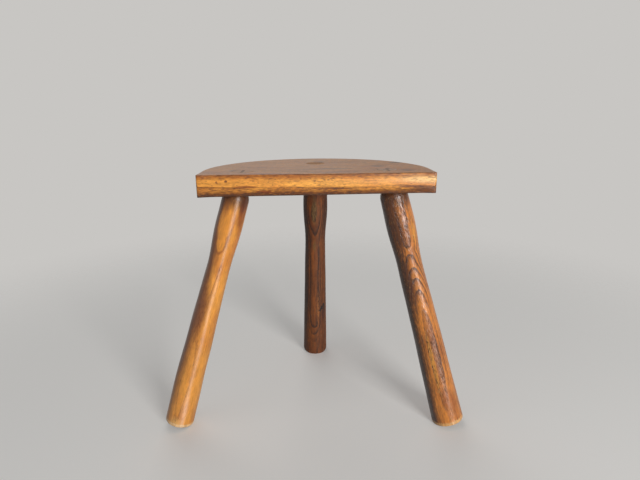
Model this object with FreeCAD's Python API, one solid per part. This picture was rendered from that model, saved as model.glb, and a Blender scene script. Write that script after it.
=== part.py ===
import FreeCAD, Part
import math
import os
from FreeCAD import Placement, Rotation, Vector

# Three-legged stool: a half-round plank seat on three turned legs that splay outwards.
# Each leg ends in a round tenon that goes right through the seat, leaning as the leg leans.
# A thin wedge, driven into a saw kerf in the tenon's end, spreads it and locks the joint.
# Millimetres, +Z up. The straight edge of the seat is the front and faces -Y, left is -X.
# The origin is on the floor, under the middle of the stool's overall box.

# Seat: one plank, straight in front and half round behind
stool_height = 390.0
seat_width = 330.0
seat_side_length = 45.0         # straight part of each side, before the half round begins
seat_left_thickness = 31.0      # the underside is planed slightly out of level
seat_right_thickness = 28.6
seat_corner_radius = 3.5        # the two front corners, seen from above
seat_top_arris = 2.0
seat_under_arris = 3.0

# Leg form: under the seat the leg ends in a ball, out of which the tenon rises. Three straight
# tapers follow, to the bulge, the neck and the floor, and an arc rounds off the corners at bulge
# and neck. Drops are along the leg's axis, down from the ball's centre. Diameters are those before
# rounding, and each round reaches equally far both ways along the side.
tenon_diameter = 29.0
ball_diameter = 39.2
bulge_drop = 45.0
bulge_diameter = 42.2
bulge_round = 16.0
neck_drop = 93.0
neck_diameter = 35.1
neck_round = 10.0
foot_diameter = 46.5
foot_arris = 1.5
foot_wear = 2.0                 # depth of the flat worn on the inner edge of each foot

# Kerfs and wedges
kerf_depth = 24.0
kerf_mouth = 3.6
kerf_root = 1.2
wedge_tip_gap = 2.0             # left empty under the wedge's tip

# Fits
glue_gap = 0.1                  # left between glued faces for the glue
overrun = 10.0                  # how far a cutting solid runs past what it cuts

# Where each leg's axis meets the seat's top, and how the leg leans. x_share is taken of the seat's
# width, from the middle, and y_share of its depth, from the front edge. sight_line is the direction
# of the lean seen from above, and wedge_line that of the wedge, both in degrees from +X towards +Y.
# The front wedges lie across the seat's grain. drop_share says how far below the seat's underside the
# ball's centre hangs, in ball diameters, and girth_share how stout the leg is beside those above.
legs = {
    "front_left": dict(x_share=-0.320, y_share=0.179, lean=16.85, sight_line=194.6,
                       drop_share=0.242, girth_share=0.985, wedge_line=90.0),
    "front_right": dict(x_share=0.310, y_share=0.183, lean=15.5, sight_line=337.6,
                        drop_share=0.291, girth_share=1.04, wedge_line=90.0),
    "back": dict(x_share=0.0, y_share=0.641, lean=15.55, sight_line=91.6,
                 drop_share=0.27, girth_share=1.0, wedge_line=28.0),
}

up = Vector(0, 0, 1)
seat_radius = seat_width / 2
seat_depth = seat_side_length + seat_radius
underside_slope = (seat_left_thickness - seat_right_thickness) / seat_width
axis_start = Vector(0, 0, 0)


def face_through(points):
    """A flat face whose straight edges join the points in turn."""
    return Part.Face(Part.makePolygon(points + points[:1]))


def seat_outline():
    """The seat's outline, as a face at the level of its top."""
    front_left = Vector(-seat_radius, 0, stool_height)
    front_right = Vector(seat_radius, 0, stool_height)
    back_right = Vector(seat_radius, seat_side_length, stool_height)
    back_left = Vector(-seat_radius, seat_side_length, stool_height)
    back_middle = Vector(0, seat_depth, stool_height)
    edges = [
        Part.LineSegment(front_left, front_right),
        Part.LineSegment(front_right, back_right),
        Part.Arc(back_right, back_middle, back_left),
        Part.LineSegment(back_left, front_left),
    ]
    return Part.Face(Part.Wire([edge.toShape() for edge in edges]))


def underside_height(x):
    """Height of the seat's underside at a distance x from the middle of its width."""
    return stool_height - (seat_left_thickness + seat_right_thickness) / 2 + x * underside_slope


def space_below_seat(drop):
    """All the room under the plane of the seat's underside, from a small drop below it."""
    reach = seat_width + overrun
    section = [
        Vector(-reach, -reach, underside_height(-reach) - drop),
        Vector(reach, -reach, underside_height(reach) - drop),
        Vector(reach, -reach, -overrun),
        Vector(-reach, -reach, -overrun),
    ]
    return face_through(section).extrude(Vector(0, 2 * reach, 0))


def space_above_seat():
    """The room over the seat's top, which trims every tenon and wedge flush."""
    reach = seat_width + overrun
    corner = Vector(-reach, -reach, stool_height)
    return Part.makeBox(2 * reach, 2 * reach, 2 * tenon_diameter, corner)


def is_front_corner(edge):
    """True for an upright edge at either end of the seat's straight front."""
    height = edge.BoundBox.ZLength
    upright = height > max(edge.BoundBox.XLength, edge.BoundBox.YLength)
    return upright and edge.CenterOfMass.y < seat_side_length / 2


def is_on_underside(edge):
    """True for an edge that lies in the plane of the seat's underside."""
    limit = seat_under_arris / 2
    return all(abs(vertex.Z - underside_height(vertex.X)) < limit for vertex in edge.Vertexes)


def is_on_top(edge):
    """True for an edge that lies in the plane of the seat's top."""
    limit = seat_top_arris / 2
    return all(abs(vertex.Z - stool_height) < limit for vertex in edge.Vertexes)


def make_seat():
    """The plank: sawn to its outline, planed, eased at every arris and bored for three tenons."""
    deepest = max(seat_left_thickness, seat_right_thickness) + overrun
    plank = seat_outline().extrude(-up * deepest).cut(space_below_seat(0))
    plank = plank.makeFillet(seat_corner_radius, list(filter(is_front_corner, plank.Edges)))
    plank = plank.makeFillet(seat_top_arris, list(filter(is_on_top, plank.Edges)))
    plank = plank.makeChamfer(seat_under_arris, list(filter(is_on_underside, plank.Edges)))
    for leg in legs.values():
        plank = plank.cut(round_bar(leg, tenon_diameter / 2 + glue_gap))
    return plank


def leg_place(leg):
    """Takes a leg drawn hanging from the origin to its place, with its +X side outermost."""
    top = Vector(leg["x_share"] * seat_width, leg["y_share"] * seat_depth, stool_height)
    lean = Rotation(Vector(0, 1, 0), -leg["lean"])
    return Placement(top, Rotation(up, leg["sight_line"]) * lean)


def ball_distance(leg):
    """How far down the leg's axis the ball's centre lies, from the seat's top."""
    place = leg_place(leg)
    down = place.Rotation.multVec(-up)
    thickness = stool_height - underside_height(place.Base.x)
    return thickness / (underside_slope * down.x - down.z) + leg["drop_share"] * ball_diameter


def round_bar(leg, radius):
    """A bar round a leg's axis, from above the seat down to the leg's bulge."""
    reach = ball_distance(leg) + bulge_drop
    bar = Part.makeCylinder(radius, reach + tenon_diameter, Vector(0, 0, -reach))
    return placed(bar, leg)


def placed(shape, leg):
    """A copy of a shape drawn at the origin, put where its leg is."""
    copy = shape.copy()
    copy.Placement = leg_place(leg).multiply(shape.Placement)
    return copy


def rounding_arc(before, corner, after, reach):
    """The arc that rounds a profile's corner, touching both its sides at one distance from it."""
    back = (before - corner).normalize()
    ahead = (after - corner).normalize()
    half_angle = back.getAngle(ahead) / 2
    depth = reach / math.cos(half_angle) - reach * math.tan(half_angle)
    middle = corner + (back + ahead).normalize() * depth
    return Part.Arc(corner + back * reach, middle, corner + ahead * reach)


def touching_point(centre, radius, outside):
    """Where a line from a point outside a circle touches it, on the side away from the axis."""
    across = outside - centre
    turn = math.degrees(math.acos(radius / across.Length))
    return centre + Rotation(Vector(0, -1, 0), turn).multVec(across.normalize()) * radius


def leg_profile(leg):
    """Half of the turned leg's long section: ball, bulge, neck, then a slow swell to the foot."""
    girth = leg["girth_share"] / 2
    lean = math.radians(leg["lean"])
    foot_radius = girth * foot_diameter
    length = (stool_height + foot_wear - foot_radius * math.sin(lean)) / math.cos(lean)
    ball_centre = Vector(0, 0, -ball_distance(leg))
    ball_radius = girth * ball_diameter
    ball_top = ball_centre + up * ball_radius
    bulge = ball_centre + Vector(girth * bulge_diameter, 0, -bulge_drop)
    neck = ball_centre + Vector(girth * neck_diameter, 0, -neck_drop)
    foot = Vector(foot_radius, 0, -length)
    sole_middle = Vector(0, 0, -length)
    sole_edge = foot - Vector(foot_arris, 0, 0)
    ball_edge = touching_point(ball_centre, ball_radius, bulge)
    halfway = (ball_top + ball_edge) / 2 - ball_centre
    arcs = [
        Part.Arc(ball_top, ball_centre + halfway.normalize() * ball_radius, ball_edge),
        rounding_arc(ball_edge, bulge, neck, bulge_round),
        rounding_arc(bulge, neck, foot, neck_round),
    ]
    edges = []
    for arc, following in zip(arcs, arcs[1:]):
        edges += [arc, Part.LineSegment(arc.EndPoint, following.StartPoint)]
    edges += [arcs[-1]]
    corners = [arcs[-1].EndPoint, foot + up * foot_arris, sole_edge, sole_middle, ball_top]
    edges += [Part.LineSegment(start, end) for start, end in zip(corners, corners[1:])]
    return Part.Face(Part.Wire([edge.toShape() for edge in edges]))


def space_below_floor():
    """The room under the floor, which wears a flat on the inner edge of each foot."""
    reach = 2 * seat_width
    depth = foot_diameter
    return Part.makeBox(2 * reach, 2 * reach, depth, Vector(-reach, -reach, -depth))


def kerf_shape(leg, side_gap, tip_gap):
    """A kerf or its wedge: tapering down the leg's axis, and running right across the tenon."""
    slope = (kerf_mouth - kerf_root) / kerf_depth
    half_mouth = (kerf_mouth + slope * overrun) / 2 - side_gap
    half_tip = (kerf_root + slope * tip_gap) / 2 - side_gap
    section = [
        Vector(0, -half_mouth, overrun),
        Vector(0, half_mouth, overrun),
        Vector(0, half_tip, tip_gap - kerf_depth),
        Vector(0, -half_tip, tip_gap - kerf_depth),
    ]
    reach = tenon_diameter / 2 + overrun
    slab = face_through(section).extrude(Vector(2 * reach, 0, 0))
    slab.translate(Vector(-reach, 0, 0))
    slab.rotate(axis_start, up, leg["wedge_line"] - leg["sight_line"])
    return placed(slab, leg)


def make_leg(leg):
    """One leg: turned body with its shoulder pared to the seat, tenon, kerf and worn foot."""
    body = placed(leg_profile(leg).revolve(axis_start, up, 360), leg)
    body = body.cut(space_below_floor()).common(space_below_seat(glue_gap))
    tenon = round_bar(leg, tenon_diameter / 2).cut(space_above_seat())
    return body.fuse(tenon).cut(kerf_shape(leg, 0, 0))


def make_wedge(leg):
    """One wedge: as wide as the tenon, a little short of the kerf's root, flush with the seat."""
    bar = round_bar(leg, tenon_diameter / 2)
    return kerf_shape(leg, glue_gap, wedge_tip_gap).common(bar).cut(space_above_seat())


pieces = {"seat": make_seat()}
for name, leg in legs.items():
    pieces[name + "_leg"] = make_leg(leg)
    pieces[name + "_wedge"] = make_wedge(leg)

whole = Part.makeCompound(list(pieces.values())).optimalBoundingBox(False)
to_origin = Vector(-whole.Center.x, -whole.Center.y, -whole.ZMin)

os.makedirs("parts", exist_ok=True)
for node, shape in pieces.items():
    shape.translate(to_origin)
    shape.exportStep("parts/" + node + ".step")
    print(node, "valid" if shape.isValid() else "not valid", "solids", len(shape.Solids),
          "volume", round(shape.Volume))
print("box", round(whole.XLength, 1), round(whole.YLength, 1), round(whole.ZLength, 1),
      "moved by", to_origin)
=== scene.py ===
import math
from functools import partial

import bpy
import numpy as np
from mathutils import Euler, Matrix, Vector


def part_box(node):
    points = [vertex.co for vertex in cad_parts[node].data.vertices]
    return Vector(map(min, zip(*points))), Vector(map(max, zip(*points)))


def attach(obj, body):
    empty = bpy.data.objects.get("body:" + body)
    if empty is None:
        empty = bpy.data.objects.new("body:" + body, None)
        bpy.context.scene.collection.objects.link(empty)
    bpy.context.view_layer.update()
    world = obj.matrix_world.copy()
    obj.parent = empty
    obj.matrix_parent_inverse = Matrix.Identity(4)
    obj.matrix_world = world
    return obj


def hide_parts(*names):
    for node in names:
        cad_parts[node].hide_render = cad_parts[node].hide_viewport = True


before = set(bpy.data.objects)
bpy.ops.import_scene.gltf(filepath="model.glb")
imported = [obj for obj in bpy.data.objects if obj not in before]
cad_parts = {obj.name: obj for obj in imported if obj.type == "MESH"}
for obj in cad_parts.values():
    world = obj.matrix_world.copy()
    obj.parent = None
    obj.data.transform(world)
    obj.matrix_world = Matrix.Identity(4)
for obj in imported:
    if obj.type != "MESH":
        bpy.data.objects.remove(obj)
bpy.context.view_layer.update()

# A low three-legged stool: half-round plank seat, three turned legs, wedged through tenons.
# Shapes are worked out in millimetres and turned to metres when their mesh is made.
# Front is -Y, left is -X, and the floor is at z = 0.

mm = 0.001


# sRGB hex to linear: each channel is divided by 12.92 below 0.04045, else ((c + 0.055) / 1.055) ^ 2.4
def linear(hexColour):
    channels = np.array([int(hexColour[i:i + 2], 16) for i in (1, 3, 5)]) / 255
    low, high = channels / 12.92, ((channels + 0.055) / 1.055) ** 2.4
    return (*np.where(channels <= 0.04045, low, high), 1.0)


# One node: its inputs are plain values, sockets, or nodes whose first live output is meant, and its
# settings are its own properties. Stops are the (position, grey level) pairs of a ramp, and between
# says how the ramp runs from one to the next
def addNode(tree, kind, inputs=None, stops=(), between="LINEAR", **settings):
    made = tree.nodes.new("ShaderNode" + kind)
    for key, value in settings.items():
        setattr(made, key, value)
    for key, value in (inputs or {}).items():
        if isinstance(value, bpy.types.Node):
            value = next(socket for socket in value.outputs if socket.enabled)
        if isinstance(value, bpy.types.NodeSocket):
            tree.links.new(value, made.inputs[key])
        else:
            made.inputs[key].default_value = value
    if stops:
        made.color_ramp.interpolation = between
        marked = made.color_ramp.elements
        inner = [marked.new(position) for position, _ in stops[1:-1]]
        for stop, (position, level) in zip([marked[0], *inner, marked[-1]], stops):
            stop.position, stop.color = position, (level, level, level, 1)
    return made


# Empties the nodes of a new material or world, and gives back the function that adds to them
def freshNodes(owner):
    owner.use_nodes = True
    owner.node_tree.nodes.clear()
    return partial(addNode, owner.node_tree)


# A closed skin over a stack of rings, first ring uppermost and each ring running anticlockwise from
# above: quads join ring i to ring i + 1, and a fan of triangles closes each end on its pole
def skin(name, rings, firstPole, lastPole):
    count, across = rings.shape[:2]
    points = np.concatenate([[firstPole], rings.reshape(-1, 3), [lastPole]]) * mm
    index = 1 + np.arange(count * across).reshape(count, across)
    beside = np.roll(index, -1, axis=1)
    quads = np.stack([index[:-1], index[1:], beside[1:], beside[:-1]], axis=-1).reshape(-1, 4)
    firstFan = np.stack([np.zeros(across, int), index[0], beside[0]], axis=-1)
    lastFan = np.stack([np.full(across, len(points) - 1), beside[-1], index[-1]], axis=-1)
    mesh = bpy.data.meshes.new(name)
    mesh.from_pydata(points.tolist(), [], quads.tolist() + firstFan.tolist() + lastFan.tolist())
    piece = bpy.data.objects.new(name, mesh)
    bpy.context.scene.collection.objects.link(piece)
    return piece


# Cuts the cutters out of a piece, bakes the result into its mesh and removes the cutters
def carve(piece, cutters):
    for cutter in cutters:
        cut = piece.modifiers.new("carve", "BOOLEAN")
        cut.operation, cut.solver, cut.object = "DIFFERENCE", "EXACT", cutter
    bpy.context.view_layer.update()
    carved = bpy.data.meshes.new_from_object(piece.evaluated_get(bpy.context.evaluated_depsgraph_get()))
    piece.modifiers.clear()
    piece.data = carved
    for cutter in cutters:
        bpy.data.objects.remove(cutter)


# Smooth shading, with a crease wherever two faces meet at more than that many degrees
def smooth(piece, crease=38):
    piece.data.shade_smooth()
    piece.data.set_sharp_from_angle(angle=math.radians(crease))


# A line of straight runs through corners (place, value), each corner rounded by a parabola that
# reaches as far both ways: value = first run + sum of slope change * ramp. With past as the distance
# past a corner, ramp is 0 before its reach, (past + reach)^2 / (4 reach) within it and past beyond
def cornered(places, corners, reaches):
    corners = np.array(corners, float)
    slopes = np.diff(corners[:, 1]) / np.diff(corners[:, 0])
    values = corners[0, 1] + slopes[0] * (places - corners[0, 0])
    for change, corner, reach in zip(np.diff(slopes), corners[1:-1, 0], reaches):
        past = places - corner
        rounded = np.clip(past + reach, 0, None) ** 2 / (4 * reach)
        values = values + change * np.where(past > reach, past, rounded)
    return values


# Gentle unevenness of hand work, always 0 to 1: half plus a sixth of the sum of three waves,
# sin(a * first + b * second + c * seed), with (a, b, c) chosen so that they hardly ever agree
handWaves = ((1.0, 0.7, 1.0), (2.3, -1.9, 2.1), (-1.4, 3.1, 4.7))


def handWork(first, second, seed):
    return 0.5 + sum(np.sin(a * first + b * second + c * seed) for a, b, c in handWaves) / 6


# The share of its size that an edge worn by hand has there, from three to five quarters
def handWorn(first, second, seed):
    return 0.75 + 0.5 * handWork(first, second, seed)


seatLow, seatHigh = (np.array(corner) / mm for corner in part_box("seat"))

# Seat, in millimetres
seat = {
    "sideLength": 45.0,         # straight part of each side, before the half round
    "leftThickness": 31.0,
    "rightThickness": 28.6,
    "cornerRadius": 3.5,
    "topArris": 2.0,
    "underArris": 2.4,
    "roundEase": 0.5,           # share of the top arris that the sides and the back have
    "frontCrown": 2.4,          # how far the front's edges fall back behind its middle
    "roundCrown": 0.2,          # the same for the sides and the back
    "cornerSlim": 0.6,          # share of arris and crown that is lost at the two corners
    "cornerReach": 12.0,        # how far from a corner that fades out
    "sawWander": 0.3,           # of the saw that cut the sides and the back
    "dish": 0.5,                # wear in the middle of the top
    "dishMiddle": 0.42,         # as a share of the seat's depth
    "dishSpan": (0.95, 0.62),   # half its width and half its depth, as shares of radius and depth
    "planing": [(47.0, 9.5, 1.3, 0.09), (120.0, 31.0, 5.2, 0.12)],    # length, width, seed and depth
    "topGap": 0.02,             # the whole top lies this much below the solid's
    "mortise": 14.75,           # radius at the faces, where old tenons show a fine dark ring
    "grid": 2.2,                # spacing of the mesh along the outline
    "cornerSteps": 10,
    "arrisSteps": 8,
    "wallSteps": 16,
    "faceSteps": 44,
}
seatWidth = seatHigh[0] - seatLow[0]
seatRadius = seatWidth / 2
seatDepth = seat["sideLength"] + seatRadius
seatTop = seatHigh[2]
seatMiddle = np.array([(seatLow[0] + seatHigh[0]) / 2, seatLow[1]])


# Height of the underside at x: the top less a thickness that runs evenly from left to right
def underside(x):
    across = (x - seatMiddle[0]) / seatWidth + 0.5
    return seatTop - seat["leftThickness"] + across * (seat["leftThickness"] - seat["rightThickness"])


# Height of the top at (x, y): level, less a broad shallow dish round the middle of the seat
# that fades out before the edges, less a little hand planing along the grain
def topside(x, y):
    halfWidth, halfDepth = seat["dishSpan"]
    across = (x - seatMiddle[0]) / seatRadius / halfWidth
    back = ((y - seatMiddle[1]) / seatDepth - seat["dishMiddle"]) / halfDepth
    worn = np.clip(1 - across ** 2 - back ** 2, 0, 1) ** 1.5
    planed = sum(depth * handWork(x / length, y / width, seed)
                 for length, width, seed, depth in seat["planing"])
    return seatTop - seat["topGap"] - seat["dish"] * worn - planed


# The outline, anticlockwise from the left end of the front: points and outward directions.
# Straight runs are even steps and each arc is centre + radius * (cos, sin)
def seatOutline():
    radius, corner, side = seatRadius, seat["cornerRadius"], seat["sideLength"]
    cornerSteps, roundSteps = seat["cornerSteps"], int(math.pi * radius / seat["grid"])

    def straight(start, end, facing):
        steps = max(int(np.hypot(*np.subtract(end, start)) / seat["grid"]), 2)
        share = np.arange(steps)[:, None] / steps
        return np.array(start) * (1 - share) + np.array(end) * share, np.tile(facing, (steps, 1))

    def arc(centre, size, start, end, steps):
        angle = np.radians(start + (end - start) * np.arange(steps) / steps)
        facing = np.stack([np.cos(angle), np.sin(angle)], axis=1)
        return np.array(centre) + size * facing, facing

    runs = [
        straight((corner - radius, 0), (radius - corner, 0), (0.0, -1.0)),
        arc((radius - corner, corner), corner, -90, 0, cornerSteps),
        straight((radius, corner), (radius, side), (1.0, 0.0)),
        arc((0, side), radius, 0, 180, roundSteps),
        straight((-radius, side), (-radius, corner), (-1.0, 0.0)),
        arc((corner - radius, corner), corner, 180, 270, cornerSteps),
    ]
    points, facings = (np.concatenate(part) for part in zip(*runs))
    return points + seatMiddle, facings


# The plank: every ring is the outline set in by an amount and put at a height. Top and underside
# shrink their rim towards the middle, the arrises are quarter rounds, and the wall bows outwards
# by its crown: inset = crown * (1 - 4 h (1 - h)) for a share h of its height. Near the two corners
# arris and crown have only the share 1 - cornerSlim * exp(-(distance / cornerReach)^2)
def makeSeat():
    points, facings = seatOutline()
    isFront = np.clip(-facings[:, 1], 0, 1) ** 4
    fromMiddle = points - seatMiddle
    fromCorner = np.hypot(np.abs(fromMiddle[:, 0]) - seatRadius, fromMiddle[:, 1])
    slim = 1 - seat["cornerSlim"] * np.exp(-(fromCorner / seat["cornerReach"]) ** 2)
    crown = (seat["roundCrown"] + (seat["frontCrown"] - seat["roundCrown"]) * isFront) * slim
    eased = seat["roundEase"] + (1 - seat["roundEase"]) * isFront
    along = points[:, 0] / 38 + points[:, 1] / 21       # the work drifts over 100 to 200 mm of edge
    topArris = seat["topArris"] * handWorn(along, 0.6 * along, 2.0) * slim * eased
    underArris = seat["underArris"] * handWorn(along, 0.4 * along, 6.0) * slim ** 2
    sawn = seat["sawWander"] * handWork(0.8 * along, 0.3 * along, 9.0) * (1 - isFront) * slim
    middle = seatMiddle + [0, seatDepth * 0.45]         # where the rings of both faces close

    def ring(inset, height):
        flat = points - facings * (inset + sawn)[:, None]
        return np.column_stack([flat, np.broadcast_to(height, len(flat))])

    top, under, wall = [], [], []
    quarter = np.linspace(0, math.pi / 2, seat["arrisSteps"])
    topLevel = topside(*(points - facings * topArris[:, None]).T)
    underLevel = underside(points[:, 0])
    for angle in quarter:
        top.append(ring(topArris * (1 - np.sin(angle)) + crown,
                        topLevel - topArris * (1 - np.cos(angle))))
        under.append(ring(underArris * (1 - np.cos(angle)) + crown,
                          underLevel + underArris * (1 - np.sin(angle))))
    wallTop, wallBottom = topLevel - topArris, underLevel + underArris
    for share in np.linspace(0, 1, seat["wallSteps"])[1:-1]:
        bow = crown * (1 - 4 * share * (1 - share))
        wall.append(ring(bow, wallTop + (wallBottom - wallTop) * share))
    spread = np.linspace(0.03, 1, seat["faceSteps"])[:-1, None, None]
    topRim, underRim = top[0][:, :2], under[-1][:, :2]
    topFlat = middle + (topRim - middle) * spread
    underFlat = middle + (underRim - middle) * spread[::-1]
    topFace = np.dstack([topFlat, topside(topFlat[..., 0], topFlat[..., 1])])
    underFace = np.dstack([underFlat, underside(underFlat[..., 0])])
    rings = np.concatenate([topFace, top, wall, under, underFace])
    return skin("seat_plank", rings, [*middle, topside(*middle)], [*middle, underside(middle[0])])


# Legs, in millimetres. Drops run down the leg's axis from the centre of its ball
legForm = {
    "tenon": 14.5,              # radii
    "tenonChamfer": 0.5,
    "tenonProud": 0.12,         # how far its end stands above the seat
    "ball": 19.6,
    "bulge": 21.1,
    "bulgeDrop": 45.0,
    "bulgeRound": 20.0,
    "neck": 17.55,
    "neckDrop": 93.0,
    "neckRound": 16.0,
    "foot": 23.25,
    "footRound": 1.75,
    "footWear": 2.0,            # the flat worn on the inner edge of the sole
    "shoulderGap": 0.1,         # between the shoulder and the seat
    "shoulderEdge": 0.25,       # the rim that paring left round the shoulder
    "unevenness": 0.35,
    "unevenLength": 34.0,
    "unevenFade": 20.0,         # the drop by which it has its full depth
    "kerfDepth": 24.0,
    "kerfMouth": 3.6,
    "kerfRoot": 1.2,
    "rings": 250,               # below the seat
    "around": 132,              # points in each ring
}
# place is where the axis meets the seat's top, as shares of the seat's width and depth, and gap is
# the slack beside the end of its wedge. Each bend is how far the leg bows outwards, and how much its
# radius falls short, round a drop and over a spread
legs = {
    "front_left": {"place": (-0.320, 0.179), "lean": 16.85, "sightLine": 194.6, "drop": 9.49,
                   "girth": 0.985, "wedgeLine": 90.0, "gap": 0.12, "seed": 1.0,
                   "bends": [(0.0, 0.5, 90.0, 110.0), (1.3, 0.0, 185.0, 60.0), (2.1, 0.0, 285.0, 50.0),
                             (0.9, 1.1, 365.0, 45.0)]},
    "front_right": {"place": (0.310, 0.183), "lean": 15.5, "sightLine": 337.6, "drop": 11.41,
                    "girth": 1.04, "wedgeLine": 90.0, "gap": 0.12, "seed": 2.0,
                    "bends": [(-1.0, 0.0, 110.0, 50.0)]},
    "back": {"place": (0.0, 0.641), "lean": 15.55, "sightLine": 91.6, "drop": 10.58,
             "girth": 1.0, "wedgeLine": 28.0, "gap": 0.35, "seed": 3.0, "bends": []},
}


# A leg's own directions in the stool's frame, as columns: outwards, to its left, and up its axis
def legTurn(leg):
    return np.array(Euler((0, -math.radians(leg["lean"]), math.radians(leg["sightLine"]))).to_matrix())


# Where a leg's axis meets the level of the seat's top
def legTop(leg):
    across, back = leg["place"]
    return np.array([*(seatMiddle + [across * seatWidth, back * seatDepth]), seatTop])


# How far down its axis a leg meets the underside, plus its drop, gives the centre of its ball
def ballDepth(leg):
    top, down = legTop(leg), -legTurn(leg)[:, 2]
    slope = (seat["leftThickness"] - seat["rightThickness"]) / seatWidth
    return (seatTop - underside(top[0])) / (slope * down[0] - down[2]) + leg["drop"]


# A leg's bow outwards (which 0) or shortfall of radius (which 1) at depths down its axis: the sum
# of each bend's amount * exp(-((drop - its drop) / spread)^2)
def bent(leg, depth, which):
    drop = np.asarray(depth) - ballDepth(leg)
    parts = (bend[which] * np.exp(-((drop - bend[2]) / bend[3]) ** 2) for bend in leg["bends"])
    return sum(parts, 0 * drop)


# Points of a leg at depths down its axis, radii and angles round it (broadcast together):
# top + outward and left parts of the radius, plus the bow, less the depth along the axis
def legPoints(leg, depth, radius, angle):
    depth, radius, angle = np.broadcast_arrays(depth, radius, angle)
    outwards = radius * np.cos(angle) + bent(leg, depth, 0)
    local = np.stack([outwards, radius * np.sin(angle), -depth], axis=-1)
    return legTop(leg) + local @ legTurn(leg).T


# Depth down the axis at which a point at that radius and angle lies at a given level, found by
# halving the stretch between two guesses
def depthAtLevel(leg, radius, angle, level, low, high):
    low, high = np.full_like(angle, low), np.full_like(angle, high)
    for _ in range(40):
        middle = (low + high) / 2
        points = legPoints(leg, middle, radius(middle) if callable(radius) else radius, angle)
        isAbove = points[:, 2] > level(points)
        low, high = np.where(isAbove, middle, low), np.where(isAbove, high, middle)
    return (low + high) / 2


# A turned leg, one ring after another from the middle of the tenon's end down to the middle of the
# sole: tenon, shoulder pared to the seat, ball, bulge, neck and the slow swell to the foot
def makeLeg(name, leg):
    form, girth, ballAt = legForm, leg["girth"], ballDepth(leg)
    angle = np.arange(form["around"]) / form["around"] * 2 * math.pi
    lean = math.radians(leg["lean"])
    footRadius, ball = girth * form["foot"], girth * form["ball"]
    length = (seatTop + form["footWear"] - footRadius * math.sin(lean)) / math.cos(lean)
    corners = [(0, ball), (form["bulgeDrop"], girth * form["bulge"]),
               (form["neckDrop"], girth * form["neck"]), (length - ballAt, footRadius)]

    # Radius: the ball's circle above its middle, then the tapers, less the turner's unevenness
    def profile(depth, turn=angle):
        drop = depth - ballAt
        circle = np.sqrt(np.clip(ball ** 2 - np.clip(drop, None, 0) ** 2, 0, None))
        taper = cornered(np.clip(drop, 0, None), corners, [form["bulgeRound"], form["neckRound"]])
        uneven = form["unevenness"] * handWork(2 * turn, drop / form["unevenLength"], leg["seed"])
        uneven = uneven + bent(leg, depth, 1)
        return np.where(drop < 0, circle, taper) - uneven * np.clip(drop / form["unevenFade"], 0, 1)

    def shoulderLevel(points):
        return underside(points[:, 0]) - form["shoulderGap"]

    # Rings through the seat: the tenon's end, its walls, and the shoulder on the underside
    top = topside(*legTop(leg)[:2]) + form["tenonProud"]
    tenon, chamfer, pared = form["tenon"], form["tenonChamfer"], form["shoulderEdge"]
    flatEnd = [(tenon * share, 0.0) for share in np.linspace(0.06, 1, 12) - chamfer / tenon]
    rings = []
    for radius, fall in [*flatEnd, (tenon - 0.3 * chamfer, 0.3 * chamfer), (tenon, chamfer)]:
        radius = np.full_like(angle, radius)
        depth = depthAtLevel(leg, radius, angle, lambda points: top - fall, -20, 20)
        rings.append(legPoints(leg, depth, radius, angle))
    shoulder = depthAtLevel(leg, profile, angle, shoulderLevel, ballAt - ball * 0.98, ballAt)
    rim = profile(shoulder)
    for share in np.linspace(0, 1, 6):
        radius = tenon + (rim - pared - tenon) * share
        depth = depthAtLevel(leg, radius, angle, shoulderLevel, 0, 70)
        rings.append(legPoints(leg, depth, radius, angle))

    # Rings below the seat, closer together at both ends, then the rounded rim and the sole
    worn = form["footRound"] * handWorn(angle, 0 * angle, leg["seed"] + 3)
    share = np.linspace(0, 1, form["rings"])[:, None]
    share = share - 0.06 * np.sin(2 * math.pi * share)
    onFloor = depthAtLevel(leg, profile, angle, lambda points: 0.0, length - 40, length + 40)
    last = np.minimum(length - worn, onFloor)
    depth = shoulder + pared + (last - shoulder - pared) * share
    rings.extend(legPoints(leg, depth, profile(depth), angle))
    edge = profile(last)
    for rolled in np.linspace(0, math.pi / 2, 8)[1:]:
        radius = edge - worn * (1 - math.cos(rolled))
        rings.append(legPoints(leg, length - worn * (1 - math.sin(rolled)), radius, angle))
    for share in np.linspace(1, 0.05, 12)[1:]:
        rings.append(legPoints(leg, length, (edge - worn) * share, angle))
    rings = np.array(rings)

    # What would go through the floor is worn back up the axis, which leaves the flat it stands on
    axis = legTurn(leg)[:, 2]
    rings -= axis * np.clip(rings[..., 2:3], None, 0) / axis[2]
    ends = [legPoints(leg, depth, 0, 0) for depth in ((seatTop - top) / math.cos(lean), length)]
    return skin(name, rings, *ends)


# Half width of the kerf at a height up the axis: from the root to the mouth along an even taper
def kerfHalf(height):
    slope = (legForm["kerfMouth"] - legForm["kerfRoot"]) / legForm["kerfDepth"]
    return (legForm["kerfRoot"] + slope * (height + legForm["kerfDepth"])) / 2


# A bar in the tenon: a circle of that radius cut off at the half widths given for each height.
# Each ring is (radius cos a, sin a clipped to the half width), turned to the wedge's line
def tenonBar(name, leg, radius, heights, halfWidths, finish=None, around=96):
    angle = np.arange(around) / around * 2 * math.pi
    along = radius * np.cos(angle)
    turn = math.radians(leg["wedgeLine"] - leg["sightLine"])
    rings = []
    for height, half in zip(heights, halfWidths):
        across = np.clip(radius * np.sin(angle), -half, half)
        x = along * math.cos(turn) - across * math.sin(turn)
        y = along * math.sin(turn) + across * math.cos(turn)
        rings.append(np.stack([x, y, np.full_like(x, height)], axis=-1))
    rings = legTop(leg) + np.array(rings) @ legTurn(leg).T
    if finish is not None:      # slide all but the last ring along the axis until each lies level
        axis = legTurn(leg)[:, 2]
        levels = finish + np.array(heights[:-1])[:, None, None]
        rings[:-1] += axis * (levels - rings[:-1, :, 2:3]) / axis[2]
    return skin(name, rings, rings[0].mean(axis=0), rings[-1].mean(axis=0))


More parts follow.
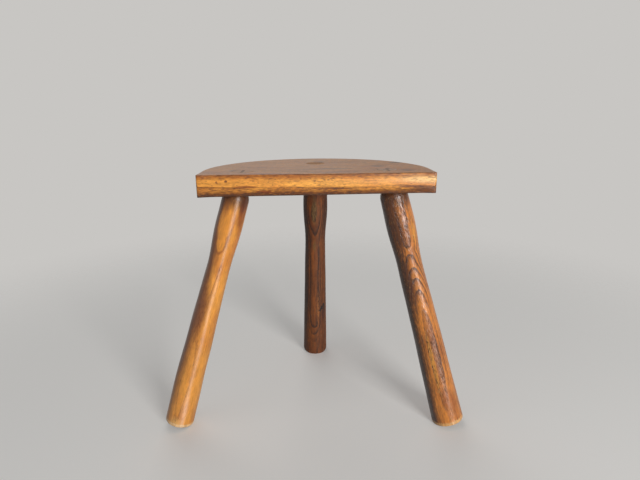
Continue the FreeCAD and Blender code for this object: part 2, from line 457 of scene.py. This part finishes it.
# A mortise is that bar left fully round, from well above the seat to well below it
def mortiseCutter(leg, above=30.0, below=60.0):
    radius = seat["mortise"]
    return tenonBar("mortise", leg, radius, [above, -below], [radius, radius])


# The kerf is the bar at its full width, run past the tenon's sides and its end
def kerfCutter(leg, pastSides=6.0, pastEnd=10.0):
    heights = [pastEnd, -legForm["kerfDepth"]]
    return tenonBar("kerf", leg, legForm["tenon"] + pastSides, heights, [kerfHalf(h) for h in heights])


# Wedges, in millimetres
wedge = {
    "length": 22.0,
    "proud": 0.05,              # how far its end stands above the seat
    "lip": 0.6,                 # how deep the gap beside its end goes
    "lipSlack": 0.12,           # on each side, below that gap
    "footSlack": 0.1,
    "inset": 0.15,              # from the tenon's wall
}


# The wedge: the gap on each side of its end shows as a fine dark line, plainest at the back
def makeWedge(name, leg):
    top = topside(*legTop(leg)[:2]) + wedge["proud"]
    heights = np.array([0.0, -wedge["lip"], -wedge["length"]])
    slack = np.array([leg["gap"], wedge["lipSlack"], wedge["footSlack"]])
    radius = legForm["tenon"] - wedge["inset"]
    return tenonBar(name, leg, radius, heights, kerfHalf(heights) - slack, finish=top)


print("making the seat and legs")
seatPlank = makeSeat()
carve(seatPlank, [mortiseCutter(leg) for leg in legs.values()])
smooth(seatPlank)
legPieces, wedgePieces = {}, {}
for side, leg in legs.items():
    legPieces[side] = makeLeg(side + "_turned_leg", leg)
    carve(legPieces[side], [kerfCutter(leg)])
    smooth(legPieces[side])
    wedgePieces[side] = makeWedge(side + "_tenon_wedge", leg)
    smooth(wedgePieces[side])


# Stained, varnished ring-porous hardwood, such as ash or elm. Growth rings are shells round a pith
# line: the ring number is the distance from that line over the ring width, raised along the piece
# where the trunk was crooked, so turned and flat faces show true arches and straight grain. Each
# ring starts with a dark band of open pores, which drink the stain, and fades to dense gold
# latewood. The wood was rubbed down by hand, and its fine scratches spread the light across them.
# The varnish follows the pores and has a slight orange peel, so its small reflections break up.
# grain is the place and turn of the piece's long axis, and all sizes are in millimetres
def varnishedWood(name, grain, look):
    material = bpy.data.materials.new(name)
    node = freshNodes(material)
    place, turn = grain
    objectPlace = node("TexCoord").outputs["Object"]
    local = node("Mapping", {"Vector": objectPlace, "Location": place * mm, "Rotation": turn,
                             "Scale": (mm, mm, mm)}, vector_type="TEXTURE")

    # Shades from 0 to 1 in chance patches of that size
    def patches(size, detail=2.0):
        scaled = node("Mapping", {"Vector": local, "Scale": [1 / s for s in size]})
        return node("TexNoise", {"Vector": scaled, "Scale": 1.0, "Detail": detail})

    # 1 at the centre of an ellipsoid, smoothly down to 0 at its skin
    def near(centre, size):
        inside = node("Mapping", {"Vector": local, "Location": centre, "Scale": size},
                      vector_type="TEXTURE")
        ball = node("TexGradient", {"Vector": inside}, gradient_type="SPHERICAL").outputs["Fac"]
        return node("MapRange", {"Value": ball}, interpolation_type="SMOOTHSTEP")

    # ring number: the distance from the pith line, with the slow sway of the grain
    swayed = node("VectorMath", {0: patches(look["bendSize"]).outputs["Color"], 1: (0.5, 0.5, 0.5)},
                  operation="SUBTRACT")
    swayed = node("VectorMath", {0: swayed, "Scale": look["bend"]}, operation="SCALE")
    swayed = node("VectorMath", {0: swayed, 1: local}, operation="ADD")
    fromPith = node("Mapping", {"Vector": swayed, "Location": (*look["pith"], 0),
                                "Scale": [look["ringWidth"]] * 3}, vector_type="TEXTURE")
    flat = node("VectorMath", {0: fromPith, 1: (1, 1, 0)}, operation="MULTIPLY")
    rings = node("VectorMath", {0: flat}, operation="LENGTH")

    # fat and lean years, which change about every third ring
    uneven = node("TexNoise", {"W": rings, "Scale": 0.31, "Detail": 1.0}, noise_dimensions="1D")
    rings = node("Math", {0: rings, 1: look["shift"]}, operation="ADD")
    rings = node("Math", {0: uneven, 1: look["yearSpread"], 2: rings}, operation="MULTIPLY_ADD")

    # the crook of the trunk: rings added at places along the piece, then a fine flutter
    if look["crook"]:
        spots, added = np.array(look["crook"], float).T
        along = node("SeparateXYZ", {0: local}).outputs["Z"]
        share = node("MapRange", {"Value": along, "From Min": spots[0], "From Max": spots[-1]})
        stops = list(zip((spots - spots[0]) / np.ptp(spots), (added - added.min()) / np.ptp(added)))
        raised = node("ValToRGB", {"Fac": share}, stops=stops, between="CARDINAL")
        rings = node("Math", {0: rings, 1: added.min()}, operation="ADD")
        rings = node("Math", {0: raised, 1: np.ptp(added), 2: rings}, operation="MULTIPLY_ADD")
    flutter = patches(look["flutterSize"], 3.0)
    rings = node("Math", {0: flutter, 1: look["flutter"], 2: rings}, operation="MULTIPLY_ADD")

    # no two years are alike, and stretches of a ring have little earlywood: some hardly show
    phase = node("Math", {0: rings}, operation="FRACT")
    year = node("Math", {0: rings}, operation="FLOOR")
    year = node("TexWhiteNoise", {"W": year}, noise_dimensions="1D")
    year = node("Math", {0: year, 1: 0.8, 2: 0.2}, operation="MULTIPLY_ADD")
    boldness = node("MapRange", {"Value": patches(look["stretchSize"], 1.0), "From Min": 0.38,
                                 "From Max": 0.62, "To Min": look["faintest"],
                                 "To Max": look["boldest"]})
    boldness = node("Math", {0: boldness, 1: year}, operation="MULTIPLY")
    for centre, size in look["bold"]:
        boldness = node("Math", {0: near(centre, size), 1: boldness}, operation="ADD")
    boldness = node("Math", {0: boldness, 1: 1.0}, operation="MINIMUM")
    bands = [node("ValToRGB", {"Fac": phase}, stops=look[band]) for band in ("earlyBand", "edgeBand")]
    early, edge = (node("Math", {0: band, 1: boldness}, operation="MULTIPLY") for band in bands)
    edge = node("Math", {0: edge, 1: look["edge"]}, operation="MULTIPLY")

    # open pores: dashes along the grain, drawn a little coarser than the real 0.2 mm so that they show
    pores = node("MapRange", {"Value": patches(look["poreSize"]), "From Min": 0.52, "From Max": 0.62})
    porous = node("Math", {0: early, 1: 0.8, 2: look["latePores"]}, operation="MULTIPLY_ADD")
    for centre, size, extra in look["porous"]:
        porous = node("Math", {0: near(centre, size), 1: extra, 2: porous}, operation="MULTIPLY_ADD")
    pores = node("Math", {0: pores, 1: porous}, operation="MULTIPLY", use_clamp=True)

    # tone: fibres, ripple across the grain and broad clouds of stain, as one factor round 1
    tone = 1.0
    for kind, detail in (("fibre", 4.0), ("mottle", 2.5), ("cloud", 1.0)):
        tone = node("Math", {0: tone, 1: look[kind]}, operation="SUBTRACT")
        tone = node("Math", {0: patches(look[kind + "Size"], detail), 1: 2 * look[kind], 2: tone},
                    operation="MULTIPLY_ADD")

    # end grain drinks more stain than the long sides do
    axis = Euler(turn).to_matrix() @ Vector((0, 0, 1))
    normal = node("NewGeometry").outputs["Normal"]
    across = node("VectorMath", {0: normal, 1: axis}, operation="DOT_PRODUCT")
    across = node("Math", {0: across}, operation="ABSOLUTE")
    endGrain = node("MapRange", {"Value": across, "From Min": 0.55, "From Max": 0.95,
                                 "To Max": look["endStain"]})

    # colour: latewood, then layer on layer, some marks painted highlights and painted shade, with the
    # marks' rims made ragged and the pores last
    reddish = node("MapRange", {"Value": patches(look["redderSize"]), "From Min": 0.45, "From Max": 0.7})
    layers = [(reddish, look["redder"]), (early, look["earlywood"]),
              (edge, look["poreColour"]), (endGrain, look["poreColour"])]
    ragged = node("Math", {0: patches(look["raggedSize"], 3.0), 1: look["ragged"],
                           2: -0.5 * look["ragged"]}, operation="MULTIPLY_ADD")
    for centre, size, hexColour, strength, blur in look["marksAndPaintedLight"]:
        spot = node("Math", {0: near(centre, size), 1: ragged}, operation="ADD")
        spot = node("MapRange", {"Value": spot, "From Min": look["markRim"],
                                 "From Max": look["markRim"] + blur, "To Max": strength})
        layers.append((spot, hexColour))
    colour = linear(look["latewood"])
    for share, hexColour in [*layers, (pores, look["poreColour"])]:
        colour = node("Mix", {"Factor": share, 6: colour, 7: linear(hexColour)}, data_type="RGBA")
    colour = node("HueSaturation", {"Value": tone, "Color": colour})

    # relief: sunk pores and soft earlywood, and the orange peel of the varnish
    relief = 0.0
    for part, height in ((pores, -1.0), (early, -0.3), (patches(look["peelSize"]), look["peel"])):
        relief = node("Math", {0: part, 1: height, 2: relief}, operation="MULTIPLY_ADD")
    bump = node("Bump", {"Height": relief, "Strength": look["relief"],
                         "Distance": look["deepest"] * mm})

    # pores, thin spots of the varnish and end grain are duller
    gloss = look["roughness"]
    for part, duller in ((pores, 0.25), (patches(look["mottleSize"]), 0.12), (endGrain, 0.4)):
        gloss = node("Math", {0: part, 1: duller, 2: gloss}, operation="MULTIPLY_ADD")
    if look["rubbed"] == "around":      # scratches run round the leg, so light spreads along it
        spread = node("VectorMath", {0: axis}, operation="NORMALIZE")
    else:                               # scratches run along the plank, so light spreads across it
        spread = node("VectorMath", {0: normal, 1: axis}, operation="CROSS_PRODUCT")
    shader = node("BsdfPrincipled", {
        "Base Color": colour, "Roughness": gloss, "Normal": bump, "IOR": look["index"],
        "Anisotropic": look["scratched"], "Tangent": spread,
        "Coat Weight": look["varnish"], "Coat Roughness": look["varnishRoughness"],
        "Coat IOR": 1.5, "Coat Normal": bump})
    node("OutputMaterial", {"Surface": shader})
    return material


print("finishing the wood")
alongSeat = (np.array([seatMiddle[0], seatMiddle[1], seatTop]), Euler((0, math.pi / 2, 0)))
# What every wood here has until a piece's own look says otherwise. Patch sizes run across, across
# and along the grain. shift is in years, and a band gives the share of earlywood, or of its dark
# edge, through one year. A mark is (centre, size, colour, strength, softness of its rim), and some
# marks are painted highlights and painted shade. A bold stretch is (centre, size), a porous one also
# says by how much, and crook lists (place along the piece, years added there)
plainLook = {
    "bendSize": (24.0, 24.0, 130.0), "bend": 1.6, "pith": (0.0, -60.0), "ringWidth": 2.4, "shift": 0.0,
    "yearSpread": 0.0, "crook": [], "flutterSize": (2.2, 2.2, 18.0), "flutter": 0.25,
    "stretchSize": (14.0, 14.0, 60.0), "faintest": 0.35, "boldest": 1.0, "bold": [], "edge": 0.5,
    "earlyBand": [(0, 0.8), (0.06, 1), (0.2, 0.8), (0.42, 0.3), (0.7, 0.05), (0.95, 0), (1, 0.5)],
    "edgeBand": [(0, 0.9), (0.05, 1), (0.13, 0.3), (0.22, 0), (0.95, 0), (1, 0.8)],
    "poreSize": (1.2, 1.2, 6.5), "latePores": 0.25, "porous": [],
    "fibreSize": (2.0, 2.0, 45.0), "fibre": 0.35, "mottleSize": (5.0, 5.0, 12.0), "mottle": 0.3,
    "cloudSize": (55.0, 55.0, 110.0), "cloud": 0.15, "endStain": 0.5,
    "redderSize": (22.0, 22.0, 60.0),
    "latewood": "#d98e3c", "redder": "#b4672a", "earlywood": "#8e5526", "poreColour": "#40220f",
    "marksAndPaintedLight": [], "markRim": 0.12, "raggedSize": (1.8, 1.8, 7.0), "ragged": 1.0,
    "relief": 0.5, "deepest": 0.25, "peelSize": (0.8, 0.8, 5.0), "peel": 0.5,
    "roughness": 0.38, "rubbed": "around", "scratched": 1.0,
    "index": 1.6, "varnish": 0.08, "varnishRoughness": 0.2,
}
# The plank: amber ash, rubbed along its length and lightly varnished, so it shines softly and evenly.
# Its own x runs down from the top, y back from the front edge and z to the right
seatLook = {**plainLook, "pith": (-25.0, -190.0), "ringWidth": 2.6, "shift": -1.4, "yearSpread": 2.5,
            "bendSize": (26.0, 26.0, 90.0), "bend": 3.2,
            "latewood": "#ec9f42", "redder": "#d07f34", "earlywood": "#84450f",
            "rubbed": "along", "scratched": 0.2, "mottleSize": (3.0, 10.0, 7.0), "mottle": 0.45,
            "fibreSize": (2.5, 7.0, 60.0), "fibre": 0.42, "latePores": 0.17, "roughness": 0.34,
            "varnishRoughness": 0.35, "index": 1.5,
            "porous": [((26.0, 0.0, 0.0), (12.0, 20.0, 500.0), 0.35)],
            "marksAndPaintedLight": [((9.0, 0.0, -124.0), (3.0, 3.0, 3.5), "#5b2e16", 0.9, 0.4),
                      ((10.0, 0.0, -137.0), (2.5, 3.0, 2.5), "#7a4420", 0.8, 0.4),
                      # painted highlight on the right end of the front
                      ((8.0, 0.0, 150.0), (10.0, 14.0, 60.0), "#ffc672", 0.8, 0.7),
                      # painted shade over the lower half of the front, which turns away from the light
                      ((33.0, 0.0, 0.0), (20.5, 14.0, 700.0), "#6a340c", 0.95, 0.65),
                      # painted highlight: a pale band along the middle of the front
                      ((13.0, 0.0, 10.0), (10.0, 10.0, 130.0), "#ffb44e", 0.6, 0.8),
                      # painted shade over the lower front towards its right end
                      ((29.0, 0.0, 110.0), (12.0, 14.0, 95.0), "#6a370e", 0.6, 0.6),
                      # painted shade along the top edge of the front
                      ((1.0, 0.0, 0.0), (9.0, 7.0, 700.0), "#8f4c15", 0.9, 0.6),
                      ((24.0, 0.0, -73.0), (4.0, 6.0, 18.0), "#7c3512", 0.8, 0.4),
                      ((17.0, 0.0, -98.0), (2.5, 6.0, 26.0), "#8f4a1a", 0.8, 0.4),
                      ((20.5, 0.0, 27.0), (1.8, 5.0, 30.0), "#6f3a12", 0.9, 0.4),
                      ((19.0, 0.0, 130.0), (3.0, 8.0, 25.0), "#6c3a17", 0.8, 0.5),
                      ((23.0, 0.0, 150.0), (5.0, 8.0, 30.0), "#5f3213", 0.85, 0.5),
                      # painted shade along the bottom edge of the front, which faces down
                      ((31.0, 0.0, 0.0), (8.0, 12.0, 700.0), "#3f210f", 0.9, 0.6),
                      # painted shade: the whole top darker, as it is lit only from low at the side
                      ((0.0, 100.0, 0.0), (3.0, 400.0, 600.0), "#7a4a26", 0.5, 0.4),
                      ((0.0, 130.0, 130.0), (4.0, 18.0, 20.0), "#3c2414", 0.75, 0.7),
                      ((0.0, 88.0, 96.0), (4.0, 20.0, 22.0), "#452b1a", 0.65, 0.7),
                      ((0.0, 40.0, 125.0), (4.0, 40.0, 55.0), "#b06a24", 0.8, 0.6),
                      ((0.0, 52.0, 105.0), (4.0, 13.0, 7.0), "#4a220e", 0.9, 0.5),
                      ((0.0, 33.0, 129.0), (4.0, 14.0, 18.0), "#52290f", 0.8, 0.6),
                      ((0.0, 46.0, -118.0), (4.0, 28.0, 14.0), "#5a3a26", 0.6, 0.7),
                      ((0.0, 60.0, 10.0), (4.0, 12.0, 75.0), "#5a3a28", 0.7, 0.6),
                      ((0.0, 154.0, 6.0), (4.0, 11.0, 16.0), "#3c2010", 0.85, 0.5),
                      ((0.0, 172.0, -9.0), (4.0, 22.0, 11.0), "#b8803f", 0.9, 0.4)]}
# Legs: x runs outwards, y to the leg's left and z up its axis, from where that meets the seat's top.
# The left one is gold and satin, the right one redder and glossy with a broken streak of light, and
# the back one dark, dry and cracked. Their top under the seat is darkened by grime and by painted
# shade, and tenons are worn as the seat is
topGrimeAndShade = ((0.0, 0.0, -34.0), (60.0, 60.0, 34.0), "#42200c", 0.9, 0.6)
legEnd = ((0.0, 0.0, 0.0), (40.0, 40.0, 9.0), "#a9713a", 0.95, 0.3)
backEnd = ((0.0, 0.0, 0.0), (40.0, 40.0, 9.0), "#b98450", 0.95, 0.3)
legLooks = {
    "front_left": {**plainLook, "pith": (29.6, 63.4), "ringWidth": 3.0, "shift": 0.5,
                   "latewood": "#e29841", "redder": "#c87b35", "earlywood": "#8a5126",
                   "faintest": 0.05, "boldest": 0.5, "varnish": 0.35, "varnishRoughness": 0.33,
                   "latePores": 0.14, "fibre": 0.25, "ragged": 0.35, "poreColour": "#5a2c10",
                   "porous": [((12.2, 14.6, -215.0), (12.0, 12.0, 60.0), 0.5)],
                   "crook": [(-410, 2.46), (-330, 2.0), (-255, 1.69), (-225, 1.6), (-185, 0.9),
                             (-150, 0.3), (-122, 0.0), (-110, 0.12), (-86, 0.38), (-30, 0.2)],
                   # painted shade down the leg's left side, away from the lamp, over darker wood
                   "marksAndPaintedLight": [((20.0, 4.0, -150.0), (26.0, 24.0, 420.0), "#64300f", 0.9, 0.6),
                             ((11.5, 14.2, -212.0), (16.0, 16.0, 68.0), "#74401f", 0.85, 0.7),
                             ((-13.0, 15.0, -56.0), (14.0, 13.0, 52.0), "#823f15", 0.85, 0.6),
                             ((-10.0, 17.0, -48.0), (8.0, 8.0, 20.0), "#6d3417", 0.8, 0.6),
                             ((9.2, 18.4, -77.0), (18.6, 18.6, 53.0), "#85481a", 0.7, 0.2),
                             ((8.4, 17.6, -106.0), (12.4, 12.4, 26.0), "#85481a", 0.7, 0.2),
                             ((9.2, 18.4, -74.0), (16.0, 16.0, 45.0), "#dc8f38", 0.95, 0.25),
                             ((8.4, 17.6, -105.0), (9.6, 9.6, 21.0), "#dc8f38", 0.95, 0.25),
                             ((12.0, 16.5, -52.0), (9.0, 9.0, 24.0), "#9a5a26", 0.7, 0.7),
                             ((13.0, 15.0, -335.0), (2.2, 2.2, 2.5), "#e6c9a0", 0.8, 0.4),
                             topGrimeAndShade, legEnd,
                             ((10.0, 19.0, -402.0), (20.0, 20.0, 24.0), "#dda862", 0.8, 0.6),
                             # painted highlight: a broad pale band beside the lamp's streak near the
                             # foot
                             ((1.0, 22.0, -372.0), (10.0, 7.0, 46.0), "#f3b98c", 0.45, 0.9),
                             ((4.0, 8.0, -402.6), (90.0, 90.0, 8.0), "#e9c08c", 0.85, 0.3)]},
    "front_right": {**plainLook, "pith": (-28.5, 63.9), "ringWidth": 2.4, "shift": 0.08, "bend": 1.0,
                    "latewood": "#d08138", "redder": "#a25c29", "earlywood": "#6c4029", "edge": 0.58,
                    "relief": 1.0, "peelSize": (1.9, 1.9, 3.4), "peel": 1.5,
                    "varnish": 0.38, "varnishRoughness": 0.1, "index": 1.5,
                    "bold": [((7.0, -18.0, -155.0), (30.0, 30.0, 80.0)),
                             ((9.0, -18.0, -290.0), (24.0, 24.0, 90.0))],
                    "porous": [((11.8, -16.8, -64.0), (9.0, 9.0, 46.0), 0.7),
                               ((11.2, -19.5, -290.0), (9.0, 9.0, 66.0), 0.2)],
                    "crook": [(-398, 1.71), (-370, 2.07), (-348, 2.38), (-320, 2.81), (-290, 3.12),
                              (-260, 3.33), (-230, 3.47), (-205, 3.31), (-181, 2.93), (-162, 2.11),
                              (-146, 1.26), (-128, 0.32), (-120, -0.32), (-112, -0.3), (-100, -0.53),
                              (-86, -0.82), (-60, -0.48), (-30, -0.3)],
                    "marksAndPaintedLight": [((11.8, -16.8, -66.0), (8.5, 8.5, 48.0), "#7a4a34", 0.6, 0.9),
                              ((11.2, -19.5, -290.0), (8.0, 8.0, 62.0), "#8a5a3e", 0.7, 0.6),
                              ((19.0, -8.9, -95.0), (9.0, 9.0, 28.0), "#d8923c", 0.7, 0.6),
                              ((4.0, -22.2, -290.0), (5.0, 5.0, 80.0), "#cb8c3c", 0.75, 0.4),
                              ((-4.0, -20.0, -165.0), (16.0, 12.0, 85.0), "#4a2415", 0.85, 0.7),
                              # painted shade down the leg's left side, away from the lamp, over darker
                              # wood
                              ((-20.0, -14.0, -190.0), (27.0, 25.0, 700.0), "#2c150a", 0.95, 0.6),
                              ((-3.0, -20.0, -75.0), (17.5, 14.0, 82.0), "#44200e", 0.85, 0.6),
                              ((14.0, -10.0, -40.0), (20.0, 20.0, 34.0), "#7a4a2c", 0.8, 0.6),
                              topGrimeAndShade, legEnd,
                              ((4.0, -8.0, -400.1), (90.0, 90.0, 9.0), "#ddaa6c", 0.8, 0.3)]},
    "back": {**plainLook, "pith": (69.0, -10.0), "ringWidth": 2.0,
             # its colours are darker than its wood: painted shade for its place under the seat, far from
             # the lamp
             "latewood": "#7c4318", "redder": "#653312", "earlywood": "#26140b",
             "roughness": 0.62, "scratched": 0.4, "varnish": 0.03, "index": 1.5,
             "fibreSize": (3.0, 3.0, 34.0), "fibre": 0.8, "mottle": 0.5, "endStain": 0.2,
             "bold": [((-20.0, 1.0, -110.0), (30.0, 30.0, 60.0)),
                      ((-20.0, -3.0, -270.0), (30.0, 30.0, 110.0))],
             "crook": [(-400, -6.2), (-360, -4.7), (-330, -2.6), (-300, -1.6), (-200, -0.6), (-134, 0.1),
                       (-30, 0.1)],
             "marksAndPaintedLight": [((-19.8, 2.8, -76.0), (5.0, 7.0, 42.0), "#6c522c", 0.75, 0.6),
                       ((-18.0, 2.5, -148.0), (4.0, 5.0, 18.0), "#6e4d24", 0.7, 0.6),
                       ((-20.8, -4.8, -265.0), (2.6, 2.6, 85.0), "#a5642c", 0.8, 0.4),
                       ((-18.0, -6.2, -165.0), (2.3, 2.3, 54.0), "#1c0c06", 0.95, 0.3),
                       ((-20.0, -6.8, -250.0), (2.4, 2.4, 60.0), "#1c0c06", 0.95, 0.3),
                       ((-21.0, -2.6, -238.0), (2.2, 2.2, 60.0), "#241008", 0.85, 0.3),
                       ((-15.5, -16.0, -288.0), (8.0, 8.0, 9.0), "#351409", 0.8, 0.5),
                       ((-19.0, -9.4, -290.0), (3.8, 3.8, 6.0), "#0a0402", 1.0, 0.3),
                       ((-17.2, -12.4, -285.5), (5.0, 5.0, 7.0), "#050201", 1.0, 0.2),
                       ((-14.6, -15.4, -280.5), (4.0, 4.0, 6.0), "#0a0402", 1.0, 0.3),
                       ((-14.5, -15.0, -302.0), (8.0, 8.0, 24.0), "#42190c", 0.8, 0.5),
                       ((-21.0, -8.4, -294.0), (2.8, 2.8, 3.0), "#a87a50", 0.7, 0.4),
                       # painted shade down the leg's left side, over dark wood
                       ((-6.0, 17.0, -200.0), (19.0, 15.0, 500.0), "#1d0f09", 0.85, 0.6),
                       ((-12.0, -17.0, -90.0), (13.0, 12.0, 90.0), "#33190c", 0.75, 0.6),
                       topGrimeAndShade, backEnd]},
}
# Wedges: oak under the same finish, browner than the tenons, so each reads as a thin dark bar
wedgeLook = {**plainLook, "latewood": "#96653a", "redder": "#7f5129", "earlywood": "#6b4827",
             "endStain": 0.3}


# Gives a piece its one finish, in place of the empty slots that carving leaves
def dress(piece, finish):
    piece.data.materials.clear()
    piece.data.materials.append(finish)


dress(seatPlank, varnishedWood("amber_varnished_ash", alongSeat, seatLook))
for side, leg in legs.items():
    grain = (legTop(leg), Matrix(legTurn(leg)).to_euler())
    dress(legPieces[side], varnishedWood(side + "_leg_varnished_ash", grain, legLooks[side]))
    dress(wedgePieces[side], varnishedWood(side + "_wedge_oak", grain, wedgeLook))

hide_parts("seat")
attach(seatPlank, "root")
for side in legs:
    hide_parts(side + "_leg")
    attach(legPieces[side], "root")
    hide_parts(side + "_wedge")
    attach(wedgePieces[side], "root")

# Studio: a pale floor that fades into a pale background, one broad low lamp in front at the right, a
# faint one at the left and a weak one high behind
studio = {
    "background": "#c8c6c3",
    "floor": "#dcdad6",
    "floorBounce": "#5b5956",   # what the floor gives back to the stool, less than it shows
    "floorLift": 0.14,          # added where the floor is seen, so that it stays pale far from the lamps
    "floorRadius": 0.45,        # metres, where the floor starts to fade
    "floorFade": 0.8,
    "ambient": 0.18,
    "aim": 0.25,                # metres above the floor, where the lamps point
    "lamps": [                  # azimuth from -Y towards +X, elevation, distance, size, watts
        (29.0, 9.0, 2.8, (1.0, 1.2), 74.0),
        (-60.0, 40.0, 2.8, (1.6, 1.6), 2.5),
        (195.0, 48.0, 2.8, (1.8, 1.4), 16.0),
    ],
}
print("setting the studio")


def makeFloor():
    size = studio["floorRadius"] + studio["floorFade"]
    corners = [(-size, -size, 0), (size, -size, 0), (size, size, 0), (-size, size, 0)]
    mesh = bpy.data.meshes.new("studio_floor")
    mesh.from_pydata(corners, [], [(0, 1, 2, 3)])
    floor = bpy.data.objects.new("studio_floor", mesh)
    bpy.context.scene.collection.objects.link(floor)
    material = bpy.data.materials.new("matt_studio_floor")
    node = freshNodes(material)
    distance = node("VectorMath", {0: node("TexCoord").outputs["Object"]}, operation="LENGTH")
    fade = node("MapRange", {"Value": distance, "From Min": studio["floorRadius"], "From Max": size},
                interpolation_type="SMOOTHSTEP")
    behind = node("NewGeometry").outputs["Backfacing"]
    gone = node("Math", {0: fade, 1: behind}, operation="MAXIMUM")
    bounced = node("LightPath").outputs["Is Diffuse Ray"]
    colour = node("Mix", {"Factor": bounced, 6: linear(studio["floor"]),
                          7: linear(studio["floorBounce"])}, data_type="RGBA")
    matt = node("BsdfDiffuse", {"Color": colour})
    lift = node("Math", {0: 1.0, 1: bounced}, operation="SUBTRACT")
    lift = node("Math", {0: lift, 1: studio["floorLift"]}, operation="MULTIPLY")
    matt = node("AddShader", {0: matt, 1: node("Emission", {"Strength": lift})})
    shader = node("MixShader", {0: gone, 1: matt, 2: node("BsdfTransparent")})
    node("OutputMaterial", {"Surface": shader})
    mesh.materials.append(material)


def makeLights():
    for number, (azimuth, elevation, distance, size, watts) in enumerate(studio["lamps"]):
        lamp = bpy.data.lights.new(f"lamp_{number}", "AREA")
        lamp.shape, lamp.size, lamp.size_y, lamp.energy = "RECTANGLE", size[0], size[1], watts
        holder = bpy.data.objects.new(lamp.name, lamp)
        a, e = math.radians(azimuth), math.radians(elevation)
        away = Vector((math.sin(a) * math.cos(e), -math.cos(a) * math.cos(e), math.sin(e)))
        holder.location = Vector((0, 0, studio["aim"])) + away * distance
        holder.rotation_euler = away.to_track_quat("Z", "Y").to_euler()
        bpy.context.scene.collection.objects.link(holder)
    world = bpy.data.worlds.new("studio_air")
    bpy.context.scene.world = world
    node = freshNodes(world)
    path = node("LightPath").outputs
    seen = node("Math", {0: path["Is Camera Ray"], 1: path["Is Glossy Ray"]}, operation="MAXIMUM")
    seen = node("Math", {0: seen, 1: path["Is Transmission Ray"]}, operation="MAXIMUM")
    pale = node("Background", {"Color": linear(studio["background"])})
    ambient = node("Background", {"Color": linear("#ffffff"), "Strength": studio["ambient"]})
    shader = node("MixShader", {0: seen, 1: ambient, 2: pale})
    node("OutputWorld", {"Surface": shader})


# Camera: place in metres and turns in degrees, worked out from the photograph's outlines at 640 x 480.
# pan is from +Y towards +X, and focalPixels is the focal length in pixels of that frame
camera = {"place": (-0.0039, -0.7722, 0.4759), "pan": 1.33, "pitch": 15.32, "roll": -0.50,
          "focalPixels": 481.0, "frameWidth": 640.0, "sensor": 36.0}


def makeCamera():
    pan, pitch, roll = (math.radians(camera[key]) for key in ("pan", "pitch", "roll"))
    ahead = Vector((math.sin(pan) * math.cos(pitch), math.cos(pan) * math.cos(pitch), -math.sin(pitch)))
    right = Vector((math.cos(pan), -math.sin(pan), 0))
    top = right.cross(ahead)
    turnedRight = right * math.cos(roll) + top * math.sin(roll)
    turnedTop = top * math.cos(roll) - right * math.sin(roll)
    lens = bpy.data.cameras.new("view")
    lens.sensor_width = camera["sensor"]
    lens.lens = camera["sensor"] * camera["focalPixels"] / camera["frameWidth"]
    holder = bpy.data.objects.new("view", lens)
    turn = Matrix((turnedRight, turnedTop, -ahead)).transposed()
    holder.matrix_world = Matrix.Translation(camera["place"]) @ turn.to_4x4()
    bpy.context.scene.collection.objects.link(holder)
    bpy.context.scene.camera = holder


makeFloor()
makeLights()
makeCamera()
bpy.context.scene.view_settings.view_transform = "Standard"

print("stool finished")
